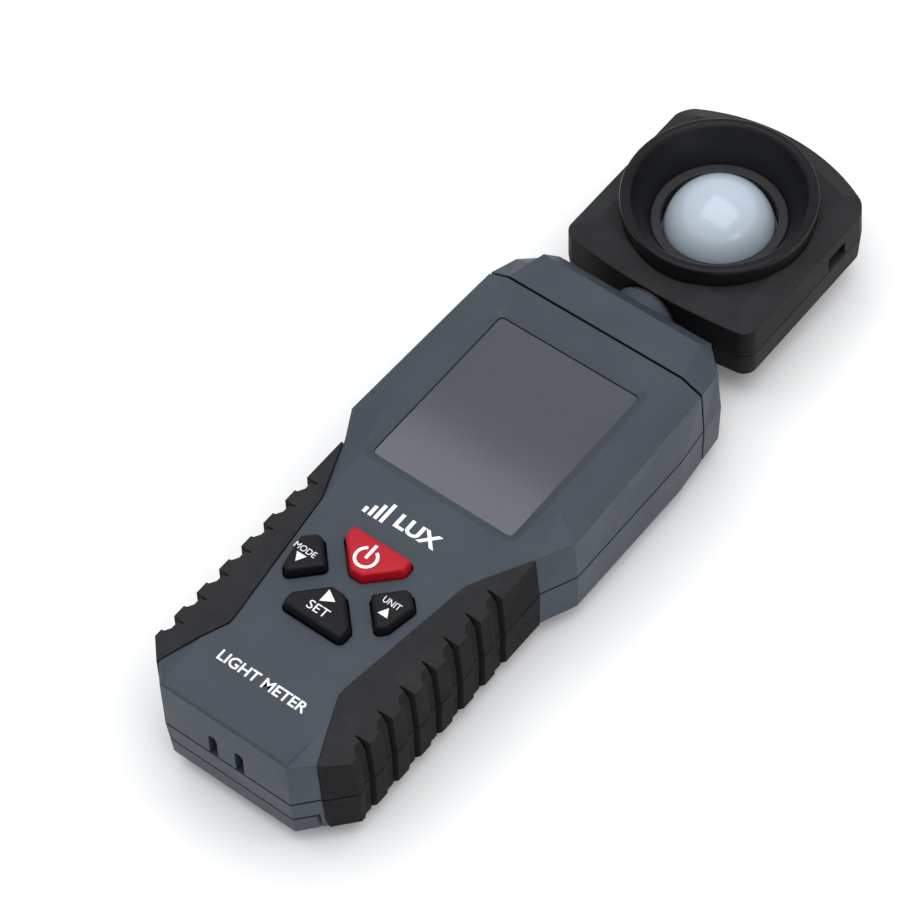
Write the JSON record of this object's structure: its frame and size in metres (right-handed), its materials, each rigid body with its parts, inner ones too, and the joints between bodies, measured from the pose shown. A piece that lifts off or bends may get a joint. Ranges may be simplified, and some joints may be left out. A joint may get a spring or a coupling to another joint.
{
  "type": "handheld light meter",
  "caption": "Flat faceted hand meter with ribbed side grips, display window, shaped keys and a swivelling sensor head with a shaded dome.",
  "frame": {"origin": "middle of the bottom of the overall box, with the meter lying on its back", "axes": "+Y from the lanyard end to the sensor head, +Z out of the front face, +X to the right seen from the front"},
  "size_m": [0.05, 0.165, 0.028],
  "materials": {
    "body_plastic": "fine spark texture, blue-grey",
    "grip_rubber": "soft matte charcoal rubber",
    "window": "glossy clear pane, smoky",
    "gasket": "black adhesive foam",
    "lcd": "grey display glass",
    "white_plastic": "white moulded plastic",
    "zebra": "layered elastomer",
    "board": "green solder mask",
    "chip": "black moulding",
    "connector": "natural nylon",
    "steel": "zinc-plated steel",
    "cell": "printed sleeve",
    "lead": "PVC sleeve",
    "head_plastic": "fine spark texture, black",
    "shade": "satin black",
    "ring": "matte dark grey",
    "dome": "translucent opal acrylic",
    "shaft": "turned",
    "photodiode": "black package",
    "filter": "green correction glass",
    "red_key": "satin red",
    "black_key": "satin black"
  },
  "bodies": {
    "housing": {"front_cover": "body_plastic", "rear_cover": "body_plastic", "top_cap": "body_plastic", "grip_left_front": "grip_rubber", "grip_right_front": "grip_rubber", "grip_left_rear": "grip_rubber", "grip_right_rear": "grip_rubber", "display_window": "window", "window_gasket": "gasket", "lcd_panel": "lcd", "lcd_frame": "white_plastic", "backlight": "white_plastic", "zebra_strip": "zebra", "main_board": "board", "board_chips": "chip", "lead_connector": "connector", "tact_switches": "chip", "buzzer": "chip", "case_screws": "steel", "board_screws": "steel", "battery_cells": "cell", "battery_springs": "steel", "battery_contacts": "steel", "neck_bush": "connector", "body_lead": "lead"},
    "sensor_head": {"head_front_shell": "head_plastic", "head_rear_shell": "head_plastic", "head_latch": "head_plastic", "light_shade": "shade", "dome_ring": "ring", "diffuser_dome": "dome", "filter_holder": "white_plastic", "colour_filter": "filter", "photodiode": "photodiode", "sensor_board": "board", "head_screws": "steel", "neck_shaft": "shaft", "stop_plate": "steel", "retaining_clip": "steel", "neck_washer": "connector", "thrust_washer": "steel", "head_lead": "lead"},
    "battery_hatch": {"battery_door": "body_plastic"},
    "power_key": {"power_button": "red_key"},
    "mode_key": {"mode_button": "black_key"},
    "set_key": {"set_button": "black_key"},
    "unit_key": {"unit_button": "black_key"}
  },
  "joints": [
    {"name": "head_swivel", "type": "hinge", "parent": "housing", "child": "sensor_head", "pos_m": [0, 0.035, 0.0134], "axis": [0, 1, 0], "range_deg": [-90, 180]},
    {"name": "door_slide", "type": "slide", "parent": "housing", "child": "battery_hatch", "axis": [0, -1, 0], "range_m": [0, 0.06]},
    {"name": "power_press", "type": "slide", "parent": "housing", "child": "power_key", "axis": [0, 0, -1], "range_m": [0, 0.0006], "stiffness_N_per_m": 1500, "springref_m": -0.0002},
    {"name": "mode_press", "type": "slide", "parent": "housing", "child": "mode_key", "axis": [0, 0, -1], "range_m": [0, 0.0006], "stiffness_N_per_m": 1500, "springref_m": -0.0002},
    {"name": "set_press", "type": "slide", "parent": "housing", "child": "set_key", "axis": [0, 0, -1], "range_m": [0, 0.0006], "stiffness_N_per_m": 1500, "springref_m": -0.0002},
    {"name": "unit_press", "type": "slide", "parent": "housing", "child": "unit_key", "axis": [0, 0, -1], "range_m": [0, 0.0006], "stiffness_N_per_m": 1500, "springref_m": -0.0002}
  ]
}
